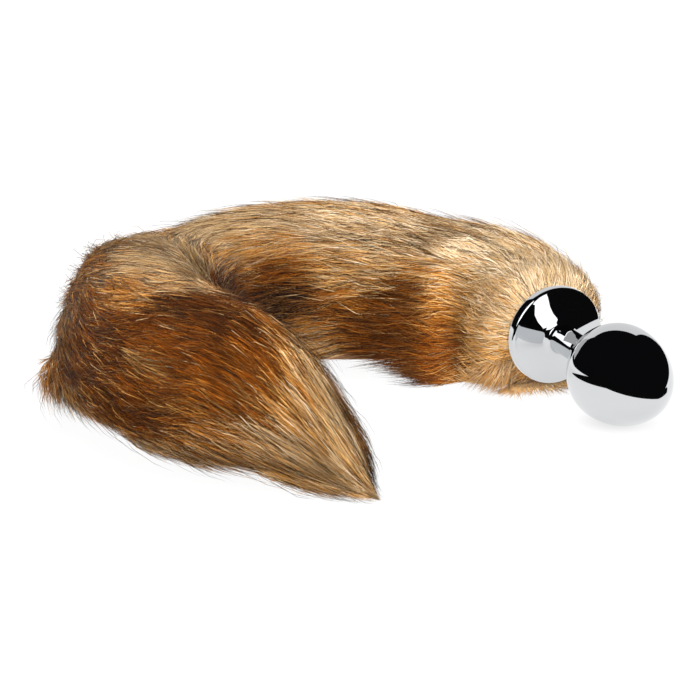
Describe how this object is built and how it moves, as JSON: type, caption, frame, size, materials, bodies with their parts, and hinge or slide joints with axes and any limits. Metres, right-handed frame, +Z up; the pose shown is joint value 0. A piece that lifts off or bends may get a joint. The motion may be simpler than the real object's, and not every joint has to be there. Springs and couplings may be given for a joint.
{
  "type": "fox tail butt plug",
  "caption": "Polished metal plug with a round flared base, straight stem and egg-shaped bulb, joined to a long bushy faux-fur fox tail that lies curled on a surface.",
  "frame": {"origin": "centre of the object's footprint, on the surface it lies on", "axes": "+Z up, -Y towards the picture's camera, +X to its right, where the metal plug lies"},
  "size_m": [0.2448, 0.219, 0.0696],
  "materials": {
    "polished_metal": "mirror polished",
    "plain_steel": "machined",
    "fox_fur": "long soft pile, tawny with dark brown bands and black tips"
  },
  "bodies": {
    "root": {"plug_body": "polished_metal", "tail_stud": "plain_steel", "fur_tail": "fox_fur"}
  },
  "joints": []
}
